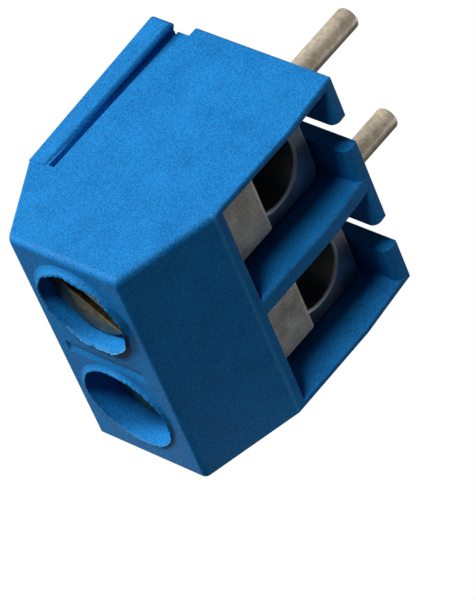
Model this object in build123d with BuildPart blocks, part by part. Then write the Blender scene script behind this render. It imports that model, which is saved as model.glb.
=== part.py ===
from build123d import *
import os

# Two-way screw terminal block for a circuit board, drawn in millimetres.
# The origin is midway between the solder pins on the board's surface.
# +X runs along the row towards the end with the side rail, the wires enter
# from -Y and the screws are turned from +Z.

# row of two poles
pitch = 5.08
body_length = 2 * pitch
end_x = body_length / 2
poles = {1: pitch / 2, 2: -pitch / 2}

# outline of the housing seen from the end
body_height = 10.6
front_y = -3.75
front_foot_y = -3.5
front_foot_z = 2.8
back_y = 4.25
top_half = 2.5
slope_foot_z = 6.8
edge_radius = 0.09
soft_edge_radius = 0.25
mouth_radius = 0.05
divider_radius = 0.14
back_slope_z = 7.45
relief_y = 2.7
relief_height = 0.4

# wire bays
bay_centre = 2.5
bay_width = 4.26
sill_height = 0.65
sill_radius = 0.3
lip_bottom = 6.35
lip_radius = 0.15
lip_back_y = -3.15
bay_back_y = 1.9
bay_ceiling = 6.9
wall_flare = 0.2
wall_flare_depth = 0.9

# slots under the bays, through which the pins are loaded from the front
slot_width = 1.35
slot_end_y = 0.1

# screw wells, set slightly behind the pins, and the shallow dip between them
screw_y = 0.15
well_radius = 1.85
well_rim = 0.1
dip_start_x = 0.15
dip_bottom_x = -0.18
dip_end_x = -0.45
dip_depth = 0.06
dip_length = 3.6
dip_back_y = 2.0

# rail on the +X end and the rebate for a neighbour's rail on the -X end
rail_front_y = 3.4
rail_undercut = 0.2
rail_foot_height = 0.42
rail_top_height = 0.05
rail_embed = 0.3
rail_nose = 0.15
rail_back_round = 0.1
rail_groove_width = 0.25
rail_groove_depth = 0.3
rail_groove_top = 7.35
rebate_clearance = 0.06

# clamp blocks
clamp_width = 3.9
clamp_front_y = -2.1
clamp_bottom = 1.0
clamp_corner = 0.6
wire_hole_radius = 1.4
wire_hole_z = 3.0
wire_hole_rim = 0.12
thread_radius = 1.25
thread_clearance = 0.03

# solder pins
pin_radius = 0.45
pin_root_radius = 0.5
pin_tip_z = -4.3
pin_seat_depth = 0.3
pin_tip_round = 0.12

# wire guards: a bent strip that the screw pushes down on to the wire
guard_thickness = 0.18
guard_front_y = -2.42
guard_width = 3.24
guard_bend = 0.22
guard_height = 2.75
leaf_width = 1.6
leaf_end_y = 1.2
guard_foot_z = 3.8

# clamp screws
head_radius = 1.65
head_height = 1.3
head_chamfer = 0.15
head_top_z = {1: 10.2, 2: 9.6}
driver_slot_width = 0.55
driver_slot_depth = 0.6
driver_slot_angle = {1: 50, 2: 20}
tip_chamfer = 0.2
screw_length = 5.6


def bay_x(centre_x):
    """Middle of the bay that belongs to the pole at centre_x."""
    return bay_centre if centre_x > 0 else -bay_centre


# Housing: one moulding with two bays, two screw wells and a side rail.
outline = [
    (front_foot_y, 0),
    (front_y, front_foot_z),
    (front_y, slope_foot_z),
    (-top_half, body_height),
    (top_half, body_height),
    (back_y, back_slope_z),
    (back_y, relief_height),
    (relief_y, relief_height),
    (relief_y, 0),
]
bay_outline = [
    (2 * front_y, sill_height),
    (bay_back_y, sill_height),
    (bay_back_y, bay_ceiling),
    (lip_back_y, bay_ceiling),
    (lip_back_y, lip_bottom),
    (2 * front_y, lip_bottom),
]


def build_rail(grow):
    """Side rail, undercut on its front flank and fading out towards the top."""
    flank_y = rail_front_y - grow
    section = [
        (end_x - rail_embed, flank_y + rail_embed * rail_undercut / rail_foot_height),
        (end_x + rail_foot_height + grow, flank_y - rail_undercut),
        (end_x + rail_foot_height + grow, back_y + grow),
        (end_x - rail_embed, back_y + grow),
    ]
    slope = [
        (end_x - rail_embed, relief_height),
        (end_x + rail_foot_height + grow, relief_height),
        (end_x + rail_top_height + grow, back_slope_z),
        (end_x - rail_embed, back_slope_z),
    ]
    with BuildPart() as rail:
        with BuildSketch(Plane.XY.offset(relief_height)):
            with BuildLine():
                Polyline(*section, close=True)
            make_face()
        extrude(amount=back_slope_z - relief_height)
        with BuildSketch(Plane.XZ.offset(-back_y - grow)):
            with BuildLine():
                Polyline(*slope, close=True)
            make_face()
        extrude(amount=2 * back_y, mode=Mode.INTERSECT)
        if grow == 0:
            front_and_foot = rail.edges().filter_by(
                lambda e: e.center().X > end_x
                and (e.center().Y < rail_front_y and e.center().Z > relief_height + 0.1
                     or min(v.X for v in e.vertices()) > end_x + rail_foot_height - 0.01)
                and e.center().Y < back_y - 0.1
            )
            fillet(front_and_foot, radius=rail_nose)
            back = rail.edges().filter_by(
                lambda e: e.center().Y > back_y - 0.01 and min(v.X for v in e.vertices()) > end_x + 0.01
                and e.length > rail_foot_height
            )
            fillet(back, radius=rail_back_round)
    return rail.part


side_rail = build_rail(0)
neighbour_rail = Location((-body_length, 0, 0)) * build_rail(rebate_clearance)

with BuildPart() as housing:
    with BuildSketch(Plane.YZ.offset(-end_x)):
        with BuildLine():
            Polyline(*outline, close=True)
        make_face()
    extrude(amount=body_length)
    inner_corner = housing.edges().filter_by(Axis.X).filter_by(
        lambda e: abs(e.center().Y - relief_y) < 0.01 and abs(e.center().Z - relief_height) < 0.01
    )
    soft_edges = housing.edges().filter_by(
        lambda e: (e.center().X > end_x - 0.01 and e.center().Z > slope_foot_z)
        or (abs(e.center().Y + top_half) < 0.01 and e.length > pitch)
    )
    soft_edges = soft_edges.filter_by(lambda e: e.center().Y < top_half)
    fillet(soft_edges, radius=soft_edge_radius)
    fillet(housing.edges() - inner_corner, radius=edge_radius)

    for centre_x in poles.values():
        # open bay, from the lip down to the sill
        with BuildSketch(Plane.YZ.offset(bay_x(centre_x) - bay_width / 2)):
            with BuildLine():
                Polyline(*bay_outline, close=True)
            make_face()
        extrude(amount=bay_width, mode=Mode.SUBTRACT)

    # outer walls thin out towards the front edge
    for side in (1, -1):
        inner_x = side * (bay_centre + bay_width / 2)
        with BuildSketch(Plane.XY.offset(sill_height)):
            with BuildLine():
                Polyline(
                    (inner_x, front_y + wall_flare_depth),
                    (inner_x + side * wall_flare, front_y),
                    (inner_x + side * wall_flare, front_y - 1),
                    (inner_x - side * wall_flare, front_y - 1),
                    close=True,
                )
            make_face()
        extrude(amount=lip_bottom - sill_height, mode=Mode.SUBTRACT)

    # round the front edge of each lip and sill
    lips = housing.edges().filter_by(Axis.X).filter_by(
        lambda e: abs(e.center().Z - lip_bottom) < 0.01 and e.center().Y < front_y + 0.5
    )
    fillet(lips, radius=lip_radius)
    sills = housing.edges().filter_by(Axis.X).filter_by(
        lambda e: abs(e.center().Z - sill_height) < 0.01 and e.center().Y < front_y + 0.5
    )
    fillet(sills, radius=sill_radius)

    # pin slots through the bottom wall, open to the front
    with BuildSketch(Plane.XY.offset(-1)):
        for centre_x in poles.values():
            with Locations((centre_x, (slot_end_y + 2 * front_y) / 2)):
                Rectangle(slot_width, slot_end_y - 2 * front_y)
            with Locations((centre_x, slot_end_y)):
                Circle(slot_width / 2)
    extrude(amount=1 + sill_height, mode=Mode.SUBTRACT)

    # screw wells from the top down into the bays
    with BuildSketch(Plane.XY.offset(body_height)):
        with Locations(*[(centre_x, screw_y) for centre_x in poles.values()]):
            Circle(well_radius)
    extrude(amount=bay_ceiling - body_height, mode=Mode.SUBTRACT)
    rims = housing.edges().filter_by(GeomType.CIRCLE).filter_by(
        lambda e: abs(e.center().Z - body_height) < 0.01
    )
    fillet(rims, radius=well_rim)

    # shallow V-shaped dip in the top between the two wells
    with BuildSketch(Plane.XZ.offset(-dip_back_y)):
        with BuildLine():
            Polyline(
                (dip_start_x, body_height),
                (dip_bottom_x, body_height - dip_depth),
                (dip_end_x, body_height),
                (dip_end_x, body_height + dip_depth),
                (dip_start_x, body_height + dip_depth),
                close=True,
            )
        make_face()
    extrude(amount=dip_length, mode=Mode.SUBTRACT)

    # rail on the +X end
    add(side_rail)

    # V-shaped groove along the root of the rail
    with BuildSketch(Plane.XY.offset(relief_height)):
        with BuildLine():
            Polyline(
                (end_x, rail_front_y - rail_groove_width),
                (end_x - rail_groove_depth, rail_front_y),
                (end_x, rail_front_y),
                close=True,
            )
        make_face()
    extrude(amount=rail_groove_top - relief_height, mode=Mode.SUBTRACT)

    # rebate in the -X end that takes a neighbour's rail
    add(neighbour_rail, mode=Mode.SUBTRACT)

    # round the upright front edges of the bays, more on the divider than on the outer walls
    for least_x, most_x, radius in (
        (0, pitch - bay_width, divider_radius),
        (bay_centre, end_x - 2 * edge_radius, mouth_radius),
    ):
        upright = housing.edges().filter_by(Axis.Z).filter_by(
            lambda e: abs(e.center().Y - front_y) < 0.01 and least_x < abs(e.center().X) < most_x
        )
        fillet(upright, radius=radius)

housing.part.label = "housing"


def build_clamp(number, centre_x):
    """Metal block with a round wire hole and a tapped hole for the screw."""
    depth = bay_back_y - clamp_front_y
    with BuildPart() as clamp:
        with BuildSketch(Plane.XZ.offset(-bay_back_y)):
            with Locations((centre_x, (clamp_bottom + bay_ceiling) / 2)):
                Rectangle(clamp_width, bay_ceiling - clamp_bottom)
        extrude(amount=depth)
        low = clamp.edges().filter_by(Axis.Y).sort_by(Axis.Z)[:2]
        fillet(low, radius=clamp_corner)
        with BuildSketch(Plane.XZ.offset(-bay_back_y)):
            with Locations((centre_x, wire_hole_z)):
                Circle(wire_hole_radius)
        extrude(amount=depth, mode=Mode.SUBTRACT)
        rim = clamp.edges().filter_by(GeomType.CIRCLE).filter_by(
            lambda e: abs(e.center().Y - clamp_front_y) < 0.01 and e.length > 2 * wire_hole_radius
        )
        fillet(rim, radius=wire_hole_rim)
        with BuildSketch(Plane.XY.offset(wire_hole_z)):
            with Locations((centre_x, screw_y)):
                Circle(thread_radius + thread_clearance)
        extrude(amount=bay_ceiling - wire_hole_z, mode=Mode.SUBTRACT)
        with BuildSketch(Plane.XY.offset(clamp_bottom)):
            with Locations((centre_x, 0)):
                Circle(pin_root_radius)
        extrude(amount=pin_seat_depth, mode=Mode.SUBTRACT)
    clamp.part.label = f"clamp_body_{number}"
    return clamp.part


def build_pin(number, centre_x):
    """Round solder pin with a thicker root, seated in the underside of its clamp block."""
    with BuildPart() as pin:
        with BuildSketch(Plane.XY.offset(pin_tip_z)):
            with Locations((centre_x, 0)):
                Circle(pin_radius)
        extrude(amount=-pin_tip_z)
        with BuildSketch(Plane.XY):
            with Locations((centre_x, 0)):
                Circle(pin_root_radius)
        extrude(amount=clamp_bottom + pin_seat_depth)
        fillet(pin.edges().sort_by(Axis.Z)[0], radius=pin_tip_round)
    pin.part.label = f"solder_pin_{number}"
    return pin.part


def build_guard(number, centre_x):
    """Bent strip: a wide tab in front of the clamp and a narrow leaf inside it."""
    foot = guard_foot_z
    bend_end = guard_front_y + guard_bend
    with BuildPart() as guard:
        with BuildSketch(Plane.YZ.offset(centre_x - guard_width / 2)):
            with BuildLine():
                Line((guard_front_y, foot + guard_height), (guard_front_y, foot + guard_bend))
                RadiusArc((guard_front_y, foot + guard_bend), (bend_end, foot), -guard_bend)
                Line((bend_end, foot), (bend_end, foot + guard_thickness))
                Line((bend_end, foot + guard_thickness),
                     (guard_front_y + guard_thickness, foot + guard_bend))
                Line((guard_front_y + guard_thickness, foot + guard_bend),
                     (guard_front_y + guard_thickness, foot + guard_height))
                Line((guard_front_y + guard_thickness, foot + guard_height),
                     (guard_front_y, foot + guard_height))
            make_face()
        extrude(amount=guard_width)
        with BuildSketch(Plane.XY.offset(foot)):
            with Locations((centre_x, (bend_end - guard_thickness / 4 + leaf_end_y) / 2)):
                Rectangle(leaf_width, leaf_end_y - bend_end + guard_thickness / 4)
        extrude(amount=guard_thickness)
    guard.part.label = f"wire_guard_{number}"
    return guard.part


def build_screw(number, centre_x):
    """Slotted cheese-head screw, drawn with a plain shank."""
    top = head_top_z[number]
    under = top - head_height
    tip = top - screw_length
    with BuildPart() as screw:
        with BuildSketch(Plane.XY.offset(under)):
            with Locations((centre_x, screw_y)):
                Circle(head_radius)
        extrude(amount=head_height)
        chamfer(screw.edges().sort_by(Axis.Z)[-1], length=head_chamfer)
        with BuildSketch(Plane.XY.offset(tip)):
            with Locations((centre_x, screw_y)):
                Circle(thread_radius)
        extrude(amount=under - tip)
        chamfer(screw.edges().sort_by(Axis.Z)[0], length=tip_chamfer)
        with BuildSketch(Plane.XY.offset(top)):
            with Locations(Location((centre_x, screw_y), driver_slot_angle[number])):
                Rectangle(3 * head_radius, driver_slot_width)
        extrude(amount=-driver_slot_depth, mode=Mode.SUBTRACT)
    screw.part.label = f"clamp_screw_{number}"
    return screw.part


os.makedirs("parts", exist_ok=True)
export_step(housing.part, "parts/housing.step")
for number, centre_x in poles.items():
    for piece in (
        build_clamp(number, centre_x),
        build_pin(number, centre_x),
        build_guard(number, centre_x),
        build_screw(number, centre_x),
    ):
        export_step(piece, f"parts/{piece.label}.step")
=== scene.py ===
"""Looks of the two-way screw terminal block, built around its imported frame."""
import math
import random

import bmesh
import bpy
from mathutils import Matrix, Vector


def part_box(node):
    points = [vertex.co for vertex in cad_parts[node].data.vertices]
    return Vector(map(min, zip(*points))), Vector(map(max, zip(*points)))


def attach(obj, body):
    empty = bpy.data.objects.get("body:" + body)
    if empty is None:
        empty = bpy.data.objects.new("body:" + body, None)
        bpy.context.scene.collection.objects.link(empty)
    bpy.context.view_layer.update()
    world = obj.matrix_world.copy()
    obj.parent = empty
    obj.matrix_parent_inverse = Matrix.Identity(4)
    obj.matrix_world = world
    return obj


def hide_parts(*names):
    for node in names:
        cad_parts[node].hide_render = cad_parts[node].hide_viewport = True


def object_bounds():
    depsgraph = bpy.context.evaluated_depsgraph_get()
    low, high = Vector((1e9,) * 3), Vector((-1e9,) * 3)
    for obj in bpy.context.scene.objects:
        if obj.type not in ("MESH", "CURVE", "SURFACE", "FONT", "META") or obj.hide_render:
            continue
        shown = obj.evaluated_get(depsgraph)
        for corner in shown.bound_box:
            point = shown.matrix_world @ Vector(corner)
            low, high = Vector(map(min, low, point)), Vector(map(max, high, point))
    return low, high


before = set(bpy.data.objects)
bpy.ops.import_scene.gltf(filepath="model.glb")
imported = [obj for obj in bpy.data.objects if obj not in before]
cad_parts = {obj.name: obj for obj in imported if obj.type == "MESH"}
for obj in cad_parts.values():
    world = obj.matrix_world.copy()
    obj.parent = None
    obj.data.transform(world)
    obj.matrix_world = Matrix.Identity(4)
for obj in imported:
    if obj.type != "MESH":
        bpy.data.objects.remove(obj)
cad_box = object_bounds()
MM = 0.001
POLES = (1, 2)

# ---------------------------------------------------------------- camera
CAMERA_AZIMUTH = 49.12       # degrees from the wire side (-Y) towards the rail end (+X)
CAMERA_ELEVATION = 23.54
CAMERA_ROLL = 138.63         # the block is seen lying on its -X end
CAMERA_DISTANCE = 167.5 * MM
CAMERA_AIM = Vector((-2.99, 0.0, 4.77)) * MM
CAMERA_LENS = 288.0          # focal length in millimetres, on the default 36 mm sensor
CAMERA_REACH = (0.01, 20.0)  # nearest and farthest distance that it sees, in metres


def direction(azimuth, elevation):
    """Unit vector from the object towards an azimuth (from -Y towards +X) and elevation."""
    az, el = math.radians(azimuth), math.radians(elevation)
    return Vector((math.sin(az) * math.cos(el), -math.cos(az) * math.cos(el), math.sin(el)))


def add_camera():
    towards = direction(CAMERA_AZIMUTH, CAMERA_ELEVATION)
    level_right = (-towards).cross(Vector((0, 0, 1))).normalized()
    level_up = level_right.cross(-towards)
    roll = math.radians(CAMERA_ROLL)
    up = math.cos(roll) * level_up + math.sin(roll) * level_right
    right = (-towards).cross(up)
    data = bpy.data.cameras.new("camera")
    data.lens = CAMERA_LENS
    data.clip_start, data.clip_end = CAMERA_REACH
    camera = bpy.data.objects.new("camera", data)
    bpy.context.scene.collection.objects.link(camera)
    turn = Matrix((right, up, towards)).transposed().to_4x4()
    camera.matrix_world = Matrix.Translation(CAMERA_AIM + towards * CAMERA_DISTANCE) @ turn
    bpy.context.scene.camera = camera


add_camera()

# ---------------------------------------------------------------- studio
MIDDLE = (0, 0, 4)           # middle of the block, in millimetres
# two soft boxes over the rail end, and weak cards that stand for the white table round the block:
# azimuth, elevation, distance and diameter in metres, power, and the point it faces in millimetres
LIGHTS = {
    "key_back": (137, 18, 0.30, 0.106, 0.95, MIDDLE),
    "key_front": (81.5, 18, 0.30, 0.074, 0.51, MIDDLE),
    "fill_low": (-25, -50, 0.045, 0.02, 0.0034, MIDDLE),
    "fill_end": (-122, 25, 0.009, 0.006, 0.00009, (-4.6, 1.2, 11)),
    "fill_corner": (-55, 5, 0.006, 0.005, 0.00005, (-4.8, -3.4, 8.5)),
    "fill_far": (-142, 22, 0.050, 0.030, 0.0012, MIDDLE),
}
WORLD_STRENGTH = 0.03
FLOOR_Z = cad_box[0][2]
FLOOR_RADIUS = 3.0
FLOOR_GLOW = 1.0
BACKDROP_RADIUS = 6.0
BACKDROP_GLOW = 0.97
STAGE_SEGMENTS = 96
# the floor and the backdrop are seen by the camera but don't light or shade the block
STAGE_HIDDEN_FROM = ("visible_diffuse", "visible_glossy", "visible_shadow")


def add_area_light(name, azimuth, elevation, distance, diameter, power, target):
    """Round soft light that faces a target point and isn't seen itself."""
    data = bpy.data.lights.new(name, "AREA")
    data.shape = "DISK"
    data.size = diameter
    data.energy = power
    light = bpy.data.objects.new(name, data)
    towards = direction(azimuth, elevation)
    light.location = Vector(target) * MM + towards * distance
    light.rotation_mode = "QUATERNION"
    light.rotation_quaternion = towards.to_track_quat("Z", "Y")
    light.visible_camera = False
    bpy.context.scene.collection.objects.link(light)


def add_world():
    """Weak white light from all sides."""
    world = bpy.data.worlds.new("studio")
    bpy.context.scene.world = world
    world.use_nodes = True
    background = world.node_tree.nodes["Background"]
    background.inputs["Color"].default_value = (1, 1, 1, 1)
    background.inputs["Strength"].default_value = WORLD_STRENGTH


def stage_material(name, glow):
    """Even white that doesn't take light or shadow."""
    material = bpy.data.materials.new(name)
    material.use_nodes = True
    shader = material.node_tree.nodes["Principled BSDF"]
    shader.inputs["Base Color"].default_value = (0, 0, 0, 1)
    shader.inputs["Specular IOR Level"].default_value = 0.0
    shader.inputs["Emission Color"].default_value = (1, 1, 1, 1)
    shader.inputs["Emission Strength"].default_value = glow
    return material


def add_stage(name, bm, glow):
    """Adds a pale surface of the studio that casts no light or shadow on the block."""
    mesh = bpy.data.meshes.new(name)
    bm.to_mesh(mesh)
    bm.free()
    mesh.materials.append(stage_material(name + "_pale", glow))
    stage = bpy.data.objects.new(name, mesh)
    bpy.context.scene.collection.objects.link(stage)
    for flag in STAGE_HIDDEN_FROM:
        setattr(stage, flag, False)
    return stage


def add_floor():
    bm = bmesh.new()
    bmesh.ops.create_circle(bm, cap_ends=True, segments=STAGE_SEGMENTS, radius=FLOOR_RADIUS)
    add_stage("floor", bm, FLOOR_GLOW).location.z = FLOOR_Z


def add_backdrop():
    """Ball round the whole studio."""
    bm = bmesh.new()
    bmesh.ops.create_uvsphere(bm, u_segments=STAGE_SEGMENTS // 2, v_segments=STAGE_SEGMENTS // 4,
                              radius=BACKDROP_RADIUS)
    bmesh.ops.reverse_faces(bm, faces=bm.faces)
    add_stage("backdrop", bm, BACKDROP_GLOW)


for light_name, settings in LIGHTS.items():
    add_area_light(light_name, *settings)
add_world()
bpy.context.scene.view_settings.view_transform = "Standard"
add_floor()
add_backdrop()

# ---------------------------------------------------------------- materials
NOISE_SPREAD = (0.3, 0.7)        # most values of a noise lie between these
BUMP_STRENGTH = 0.7

EDGE_SAMPLES = 6
EDGE_COSINE = 0.93               # an edge counts in full from this cosine of its turn
EDGE_OPENNESS = (0.6, 0.95)      # share of open air round a place, from inner corner to outer edge
EDGE_SURROUNDINGS = 4            # how far round a place the open air counts, in edge radii

GRAIN_SCALE = 16000              # noise scales are in features per metre
CLOUD_SCALE = 900
DENT_SCALE = 5200
PLASTIC_TONES = (0.38, 0.62)     # noise values of the darkest and the lightest blue
WEAR_AND_SHEEN_SPAN = (0.4, 0.65)          # dents' noise values of the least and the most paled edges, where the paling is partly wear and partly painted highlight
WEAR_AND_SHEEN_LEAST = 0.1
PLASTIC_BUMP = 0.014 * MM
PLASTIC_ROUGHNESS = (0.58, 0.70)
PLASTIC_SPECULAR = 0.2
PLASTIC_IOR = 1.47

METAL_TONES = (0.32, 0.68)       # noise values of the darkest and the lightest plating
STAIN_COARSENESS = 9             # how many times larger the stains are than the speckles
METAL_BUMP = 0.004 * MM
RUBBED_AND_SHEEN_RADIUS = 0.05 * MM
RUBBED_AND_SHEEN_SHARE = 0.6
RUBBED_AND_SHEEN_GAIN = 1.9                # brighter edges, partly rubbed wear and partly painted highlight, are this much brighter than the plating

# painted highlight: pale line on the front where the slope ends, in place of light caught by that crease;
# height, hindmost place and half width
CREASE_HIGHLIGHT = (6.8 * MM, cad_box[0][1] + 0.15 * MM, 0.11 * MM)
CREASE_HIGHLIGHT_CORE = 0.3                # share of its half width that is at full strength
CREASE_HIGHLIGHT_SPAN = (0.3, 0.6)         # dents' noise values where the line is weakest and strongest
CREASE_HIGHLIGHT_STRENGTH = (0.4, 0.9)

# painted highlight: bright ring round the wire hole of each clamp, in place of light caught by its rim
HOLE_HIGHLIGHT_RADIUS = 1.44 * MM
HOLE_HIGHLIGHT_WIDTH = 0.07 * MM
HOLE_HIGHLIGHT_CORE = 0.5                  # share of its width that is at full strength
HOLE_HIGHLIGHT_FADE = (0.8, 1.6)           # how far behind the clamp's front it fades out, in widths
WIRE_HOLE_Z = 3.0 * MM
clamp_low, clamp_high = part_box("clamp_body_1")
RING_X = (clamp_low[0] + clamp_high[0]) / 2
RING_Y = clamp_low[1]


class Nodes:
    """Small helper that adds and joins the shader nodes of one new material."""

    def __init__(self, name):
        self.material = bpy.data.materials.new(name)
        self.material.use_nodes = True
        self.tree = self.material.node_tree
        self.shader = self.tree.nodes["Principled BSDF"]

    def put(self, socket, value):
        """Feeds a socket from another one, or sets it."""
        if isinstance(value, bpy.types.NodeSocket):
            self.tree.links.new(value, socket)
        else:
            socket.default_value = value

    def add(self, kind, **inputs):
        node = self.tree.nodes.new(kind)
        for key, value in inputs.items():
            self.put(node.inputs[key.replace("_", " ")], value)
        return node

    def coordinates(self):
        return self.add("ShaderNodeTexCoord").outputs["Object"]

    def noise(self, vector, scale, detail, roughness):
        return self.add("ShaderNodeTexNoise", Vector=vector, Scale=scale, Detail=detail,
                        Roughness=roughness).outputs["Fac"]

    def remap(self, value, span, target=(0.0, 1.0)):
        """Carries a span of values over to a target span, and stops at its ends."""
        node = self.add("ShaderNodeMapRange", Value=value, From_Min=span[0], From_Max=span[1],
                        To_Min=target[0], To_Max=target[1])
        return node.outputs["Result"]

    def mix(self, factor, a, b):
        """Colour that goes from a to b with the factor."""
        node = self.tree.nodes.new("ShaderNodeMix")
        node.data_type = "RGBA"
        colour_a, colour_b = [s for s in node.inputs if s.type == "RGBA"]
        self.put(node.inputs["Factor"], factor)
        self.put(colour_a, a)
        self.put(colour_b, b)
        return [s for s in node.outputs if s.type == "RGBA"][0]

    def math(self, operation, a, b=0.0):
        """Result of an operation on one or two values; SQRT and ABSOLUTE take only a."""
        node = self.tree.nodes.new("ShaderNodeMath")
        node.operation = operation
        self.put(node.inputs[0], a)
        self.put(node.inputs[1], b)
        return node.outputs[0]

    def blend(self, a, b, share):
        """Weighted sum of two grey values, with that share of a."""
        return self.math("ADD", self.math("MULTIPLY", a, share), self.math("MULTIPLY", b, 1 - share))

    def bump(self, height, distance):
        node = self.add("ShaderNodeBump", Height=height, Distance=distance, Strength=BUMP_STRENGTH)
        return node.outputs["Normal"]

    def wire_hole_highlight(self, vector):
        """Mask for a painted highlight: 1 on the front of both clamps in a ring round the wire hole."""
        split = self.add("ShaderNodeSeparateXYZ", Vector=vector)
        across = self.math("SUBTRACT", self.math("ABSOLUTE", split.outputs["X"]), RING_X)
        up = self.math("SUBTRACT", split.outputs["Z"], WIRE_HOLE_Z)
        squares = self.math("ADD", self.math("POWER", across, 2.0), self.math("POWER", up, 2.0))
        off = self.math("ABSOLUTE", self.math("SUBTRACT", self.math("SQRT", squares), HOLE_HIGHLIGHT_RADIUS))
        fade = [RING_Y + share * HOLE_HIGHLIGHT_WIDTH for share in HOLE_HIGHLIGHT_FADE]
        on_front = self.remap(split.outputs["Y"], fade, (1.0, 0.0))
        on_ring = self.remap(off, (HOLE_HIGHLIGHT_CORE * HOLE_HIGHLIGHT_WIDTH, HOLE_HIGHLIGHT_WIDTH), (1.0, 0.0))
        return self.math("MULTIPLY", on_front, on_ring)

    def paint_crease_highlight(self, vector):
        """Mask for a painted highlight line: 1 along the level line where the housing's front slope ends.
        """
        height, back, half_width = CREASE_HIGHLIGHT
        split = self.add("ShaderNodeSeparateXYZ", Vector=vector)
        off = self.math("ABSOLUTE", self.math("SUBTRACT", split.outputs["Z"], height))
        on_front = self.remap(split.outputs["Y"], (back, back + half_width), (1.0, 0.0))
        on_line = self.remap(off, (CREASE_HIGHLIGHT_CORE * half_width, half_width), (1.0, 0.0))
        return self.math("MULTIPLY", on_front, on_line)

    def edges(self, radius):
        """Mask that is 1 on outer edges and 0 on flat faces and in corners."""
        bevel = self.add("ShaderNodeBevel", Radius=radius)
        bevel.samples = EDGE_SAMPLES
        turn = self.tree.nodes.new("ShaderNodeVectorMath")
        turn.operation = "DOT_PRODUCT"
        self.put(turn.inputs[0], bevel.outputs[0])
        self.put(turn.inputs[1], self.add("ShaderNodeNewGeometry").outputs["Normal"])
        sharp = self.remap(turn.outputs["Value"], (1.0, EDGE_COSINE))
        open_air = self.add("ShaderNodeAmbientOcclusion", Distance=EDGE_SURROUNDINGS * radius)
        open_air.samples = EDGE_SAMPLES
        return self.math("MULTIPLY", sharp, self.remap(open_air.outputs["AO"], EDGE_OPENNESS))


def moulded_plastic(name, dark, light, wear_and_sheen_colour, wear_and_sheen_share, edge_radius, crease_highlight_painted):
    """Matt blue plastic: fine grain, faint clouds, paler edges that are partly wear and partly painted
    highlight, an optional painted highlight line along the front crease, and tiny dents.
    """
    nodes = Nodes(name)
    place = nodes.coordinates()
    grain = nodes.noise(place, GRAIN_SCALE, detail=3.0, roughness=0.6)
    cloud = nodes.noise(place, CLOUD_SCALE, detail=3.0, roughness=0.55)
    dents = nodes.noise(place, DENT_SCALE, detail=2.0, roughness=0.5)
    tone = nodes.remap(nodes.blend(grain, cloud, share=0.8), PLASTIC_TONES)
    # paler outer edges: partly wear, partly painted highlight where the edges catch light
    wear_and_sheen = nodes.remap(dents, WEAR_AND_SHEEN_SPAN, (WEAR_AND_SHEEN_LEAST, wear_and_sheen_share))
    paled_by_wear_and_sheen = nodes.math("MULTIPLY", nodes.edges(edge_radius), wear_and_sheen)
    # painted highlight: a pale line along the front crease, broken up by the dents' noise
    if crease_highlight_painted:
        crease_highlight_share = nodes.remap(dents, CREASE_HIGHLIGHT_SPAN, CREASE_HIGHLIGHT_STRENGTH)
        paled_by_wear_and_sheen = nodes.math("MAXIMUM", paled_by_wear_and_sheen, nodes.math("MULTIPLY", nodes.paint_crease_highlight(place), crease_highlight_share))
    colour = nodes.mix(paled_by_wear_and_sheen, nodes.mix(tone, (*dark, 1), (*light, 1)), (*wear_and_sheen_colour, 1))
    surface = nodes.blend(grain, dents, share=0.7)
    nodes.put(nodes.shader.inputs["Base Color"], colour)
    nodes.put(nodes.shader.inputs["Roughness"], nodes.remap(cloud, NOISE_SPREAD, PLASTIC_ROUGHNESS))
    nodes.put(nodes.shader.inputs["Normal"], nodes.bump(surface, PLASTIC_BUMP))
    nodes.shader.inputs["IOR"].default_value = PLASTIC_IOR
    nodes.shader.inputs["Specular IOR Level"].default_value = PLASTIC_SPECULAR
    return nodes.material


def metal(name, dark, light, roughness, metallic=1.0, speckle_scale=6000, hole_highlighted=False):
    """Plated metal with fine speckles, broad stains, and brighter edges that are partly rubbed wear and
    partly painted highlight; optionally a painted highlight ring round the wire hole.
    """
    nodes = Nodes(name)
    place = nodes.coordinates()
    speckle = nodes.noise(place, speckle_scale, detail=4.0, roughness=0.65)
    stain = nodes.noise(place, speckle_scale / STAIN_COARSENESS, detail=2.0, roughness=0.5)
    tone = nodes.remap(nodes.blend(speckle, stain, share=0.6), METAL_TONES)
    # brighter edges: partly rubbed wear, partly painted highlight
    rubbed_and_sheen = nodes.math("MULTIPLY", nodes.edges(RUBBED_AND_SHEEN_RADIUS), RUBBED_AND_SHEEN_SHARE)
    # painted highlight: a bright ring round the wire hole
    if hole_highlighted:
        rubbed_and_sheen = nodes.math("MAXIMUM", rubbed_and_sheen, nodes.wire_hole_highlight(place))
    rubbed_and_sheen_colour = tuple(min(1.0, RUBBED_AND_SHEEN_GAIN * channel) for channel in light)
    colour = nodes.mix(rubbed_and_sheen, nodes.mix(tone, (*dark, 1), (*light, 1)), (*rubbed_and_sheen_colour, 1))
    nodes.put(nodes.shader.inputs["Base Color"], colour)
    nodes.put(nodes.shader.inputs["Roughness"], nodes.remap(stain, NOISE_SPREAD, roughness))
    nodes.put(nodes.shader.inputs["Normal"], nodes.bump(speckle, METAL_BUMP))
    nodes.put(nodes.shader.inputs["Metallic"], nodes.remap(rubbed_and_sheen, (0.0, 1.0), (metallic, 0.0)))
    return nodes.material


# the pale colours stand for edge wear and painted highlight together
PLASTIC = moulded_plastic("blue_moulded_plastic", dark=(0.002, 0.125, 0.37), light=(0.010, 0.245, 0.65),
                          wear_and_sheen_colour=(0.03, 0.28, 0.64), wear_and_sheen_share=0.3, edge_radius=0.07 * MM, crease_highlight_painted=True)
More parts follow.
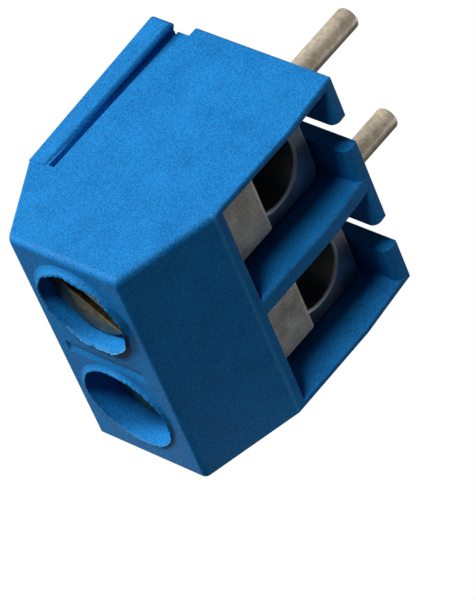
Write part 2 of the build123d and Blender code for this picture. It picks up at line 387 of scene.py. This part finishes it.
# the lip's pale torn crest is partly stress-whitened plastic and partly painted highlight
LIP = moulded_plastic("blue_plastic_torn", dark=(0.002, 0.125, 0.37), light=(0.012, 0.245, 0.62),
                      wear_and_sheen_colour=(0.17, 0.44, 0.62), wear_and_sheen_share=1.0, edge_radius=0.05 * MM, crease_highlight_painted=False)
CLAMP = metal("clamp_nickel", dark=(0.30, 0.31, 0.33), light=(0.48, 0.49, 0.50),
              roughness=(0.32, 0.48), hole_highlighted=True)
PIN = metal("pin_tinned", dark=(0.42, 0.355, 0.26), light=(0.93, 0.80, 0.62),
            roughness=(0.27, 0.42), metallic=0.3)
GUARD = metal("guard_strip", dark=(0.30, 0.27, 0.22), light=(1.0, 0.95, 0.84),
              roughness=(0.55, 0.7), metallic=0.3, speckle_scale=12000)
SCREW = metal("screw_yellow_plated", dark=(0.03, 0.022, 0.010), light=(0.54, 0.42, 0.21),
              roughness=(0.28, 0.5), metallic=0.8, speckle_scale=3000)


def dress(node, material):
    """Gives a node of the frame its own material."""
    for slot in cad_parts[node].material_slots:
        slot.material = material


dress("housing", PLASTIC)
for pole in POLES:
    dress(f"clamp_body_{pole}", CLAMP)
    dress(f"solder_pin_{pole}", PIN)
    dress(f"wire_guard_{pole}", GUARD)

# ---------------------------------------------------------------- screws
screw_low, screw_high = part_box("clamp_screw_1")
HEAD_RADIUS = (screw_high[0] - screw_low[0]) / 2
HEAD_HEIGHT = 1.3 * MM
HEAD_EDGE = 0.15 * MM            # rounding of the head's top edge
HEAD_FOOT_EDGE = 0.4 * HEAD_EDGE
ROUND_MIDDLE = 0.3               # how far the middle of a rounded edge is inside its corner, in radii
SLOT_WIDTH = 0.55 * MM
SLOT_DEPTH = 0.6 * MM
SLOT_ANGLE = {1: 50, 2: 20}      # degrees from +X, as in the frame
SLOT_REACH = 3 * HEAD_RADIUS     # length of the cutter, well past the head
SOFT_EDGE = 0.03 * MM            # bevel on every edge sharper than the angle
SOFT_ANGLE = 50
THREAD_PITCH = 0.45 * MM
THREAD_RADIUS = 1.25 * MM
THREAD_DEPTH = 0.27 * MM
NECK = 0.35 * MM                 # stretch under the head over which the thread deepens
POINT = 0.25 * MM                # tapered stretch at the tip
POINT_SLOPE = 0.6
TURN_STEPS = 40
PITCH_STEPS = 8


def add_mesh(name, bm, material, smooth=True):
    mesh = bpy.data.meshes.new(name)
    bmesh.ops.recalc_face_normals(bm, faces=bm.faces)
    for face in bm.faces:
        face.smooth = smooth
    bm.to_mesh(mesh)
    bm.free()
    mesh.materials.append(material)
    piece = bpy.data.objects.new(name, mesh)
    bpy.context.scene.collection.objects.link(piece)
    return piece


def bridge_rings(bm, rings, closed=False):
    """Joins neighbouring rings of vertices with quads."""
    pairs = list(zip(rings, rings[1:]))
    if closed:
        pairs.append((rings[-1], rings[0]))
    for low, high in pairs:
        count = len(low)
        for i in range(count):
            j = (i + 1) % count
            bm.faces.new((low[i], low[j], high[j], high[i]))


def ring_of(bm, radius, z):
    """Ring of vertices at a height; radius may be a number or a function of the angle."""
    ring = []
    for step in range(TURN_STEPS):
        angle = 2 * math.pi * step / TURN_STEPS
        r = radius(angle) if callable(radius) else radius
        ring.append(bm.verts.new((r * math.cos(angle), r * math.sin(angle), z)))
    return ring


def screw_shape(length):
    """Cheese head and threaded shank about the Z axis, head top at 0."""
    bm = bmesh.new()
    profile = [
        (HEAD_RADIUS / 2, 0.0),
        (HEAD_RADIUS - HEAD_EDGE, 0.0),
        (HEAD_RADIUS - ROUND_MIDDLE * HEAD_EDGE, -ROUND_MIDDLE * HEAD_EDGE),
        (HEAD_RADIUS, -HEAD_EDGE),
        (HEAD_RADIUS, -HEAD_HEIGHT + HEAD_FOOT_EDGE),
        (HEAD_RADIUS - HEAD_FOOT_EDGE, -HEAD_HEIGHT),
        (THREAD_RADIUS, -HEAD_HEIGHT),
    ]
    rings = [ring_of(bm, radius, z) for radius, z in profile]
    bm.faces.new(rings[0])
    shank = length - HEAD_HEIGHT
    steps = int(shank / THREAD_PITCH * PITCH_STEPS)
    for step in range(1, steps + 1):
        z = -HEAD_HEIGHT - shank * step / steps
        depth = THREAD_DEPTH * min(1.0, (-HEAD_HEIGHT - z) / NECK)
        taper = POINT - min(POINT, z + length)

        def radius(angle, z=z, depth=depth, taper=taper):
            phase = (z / THREAD_PITCH - angle / (2 * math.pi)) % 1.0
            return THREAD_RADIUS - depth * abs(2 * phase - 1) - POINT_SLOPE * taper

        rings.append(ring_of(bm, radius, z))
    bridge_rings(bm, rings)
    bm.faces.new(rings[-1])
    return bm


def settle(piece):
    """Replaces a piece's mesh by the result of its modifiers."""
    depsgraph = bpy.context.evaluated_depsgraph_get()
    mesh = bpy.data.meshes.new_from_object(piece.evaluated_get(depsgraph))
    piece.modifiers.clear()
    piece.data = mesh


def cut_slot(piece, angle):
    """Cuts the driver slot across the head and softens its edges."""
    bm = bmesh.new()
    bmesh.ops.create_cube(bm, size=1.0)
    bmesh.ops.scale(bm, vec=(SLOT_REACH, SLOT_WIDTH, 2 * SLOT_DEPTH), verts=bm.verts)
    bmesh.ops.rotate(bm, cent=(0, 0, 0), verts=bm.verts,
                     matrix=Matrix.Rotation(math.radians(angle), 3, "Z"))
    cutter = add_mesh("slot_cutter", bm, SCREW, smooth=False)
    cut = piece.modifiers.new("slot", "BOOLEAN")
    cut.operation = "DIFFERENCE"
    cut.solver = "EXACT"
    cut.object = cutter
    soften = piece.modifiers.new("soften", "BEVEL")
    soften.width = SOFT_EDGE
    soften.segments = 2
    soften.limit_method = "ANGLE"
    soften.angle_limit = math.radians(SOFT_ANGLE)
    settle(piece)
    bpy.data.objects.remove(cutter)


def add_screw(pole):
    """Slotted, threaded screw in place of the frame's plain one."""
    low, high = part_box(f"clamp_screw_{pole}")
    piece = add_mesh(f"slotted_screw_{pole}", screw_shape(high[2] - low[2]), SCREW)
    cut_slot(piece, SLOT_ANGLE[pole])
    piece.data.transform(Matrix.Translation(((low[0] + high[0]) / 2, (low[1] + high[1]) / 2, high[2])))
    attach(piece, f"screw_{pole}")
    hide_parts(f"clamp_screw_{pole}")


for pole in POLES:
    add_screw(pole)

# ---------------------------------------------------------------- lips round the wells
TOP_Z = cad_box[1][2]
WELL_RADIUS = 1.85 * MM
LIP_STEPS = 220
LIP_INNER = WELL_RADIUS - 0.006 * MM
LIP_ROOT = 0.15 * MM             # how far the lip reaches down into the rounded rim
LIP_ROOT_BEND = 0.4              # where the root starts to lean outwards, as a share of its depth
LIP_SINK = 0.04 * MM             # how deep its outer foot is sunk into the plastic
LIP_HEIGHT = {1: 0.18 * MM, 2: 0.09 * MM}
LIP_BROW = 0.8                   # height of its inner side, as a share of its height
# its outer side: distance from the inner side in millimetres, and share of its height
LIP_FLANK = ((0.02, 1.0), (0.05, 0.62), (0.09, 0.33), (0.14, 0.13), (0.19, 0.03), (0.24, -0.05))
# the next four are shares of its height
LIP_TILT = {1: 0.3, 2: 0.75}     # how much higher it is on its +X side
LIP_SWELL = 0.4                  # slow rise and fall along it
LIP_RAG = 0.28                   # torn edge
LIP_LEAST = 0.05                 # lowest that it gets
LIP_WAVE = 0.03 * MM             # how far its edge wanders in and out
LIP_SLANT = {1: 0.13 * MM, 2: 0.04 * MM}  # how far it is pushed to one side
SLANT_ANGLE = math.radians(229)  # that side, from +X
LIP_SEED = 40
# slowest and fastest wave round the circle, and the number of waves
SWELL_WAVES = (2, 9, 6)
LEAN_WAVES = (3, 30, 8)
TORN_WAVES = (14, 60, 10)
WAVE_SIZES = (0.3, 1.0)          # smallest and largest wave


def wave(rng, slowest, fastest, count):
    """Sum of a few cosine waves round the circle, between -1 and 1."""
    parts = []
    for _ in range(count):
        parts.append((rng.randint(slowest, fastest), rng.uniform(0, 2 * math.pi), rng.uniform(*WAVE_SIZES)))
    total = sum(size for _, _, size in parts)

    def height(angle):
        return sum(size * math.cos(turns * angle + phase) for turns, phase, size in parts) / total

    return height


def lip_section(height, shift):
    """Outline of the lip across its length, as distance from the well's axis and height."""
    section = [
        (LIP_INNER + LIP_SINK, -LIP_ROOT),
        (LIP_INNER, -LIP_ROOT_BEND * LIP_ROOT),
        (LIP_INNER, 0.0),
        (LIP_INNER + shift, LIP_BROW * height),
    ]
    for out, share in LIP_FLANK:
        section.append((LIP_INNER + out * MM + max(0.0, share) * shift, share * height))
    section.append((LIP_INNER + LIP_FLANK[-1][0] * MM, -LIP_SINK))
    section.append((LIP_INNER + 2 * LIP_SINK, -LIP_ROOT))
    return section


def add_lip(pole):
    """Raised lip of plastic round the mouth of a screw well, torn along its edge."""
    rng = random.Random(LIP_SEED + pole)
    swell, lean, torn = [wave(rng, *waves) for waves in (SWELL_WAVES, LEAN_WAVES, TORN_WAVES)]
    low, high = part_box(f"clamp_screw_{pole}")
    centre = Vector(((low[0] + high[0]) / 2, (low[1] + high[1]) / 2, TOP_Z))
    bm = bmesh.new()
    rings = []
    for step in range(LIP_STEPS):
        angle = 2 * math.pi * step / LIP_STEPS
        share = 1 + LIP_TILT[pole] * math.cos(angle) + LIP_SWELL * swell(angle) + LIP_RAG * torn(angle)
        height = LIP_HEIGHT[pole] * max(LIP_LEAST, share)
        shift = LIP_WAVE * lean(angle) + LIP_SLANT[pole] * math.cos(angle - SLANT_ANGLE)
        across = Vector((math.cos(angle), math.sin(angle), 0))
        section = lip_section(height, shift)
        rings.append([bm.verts.new(centre + r * across + Vector((0, 0, z))) for r, z in section])
    bridge_rings(bm, rings, closed=True)
    piece = add_mesh(f"well_lip_{pole}", bm, LIP)
    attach(piece, "block")


for pole in POLES:
    add_lip(pole)
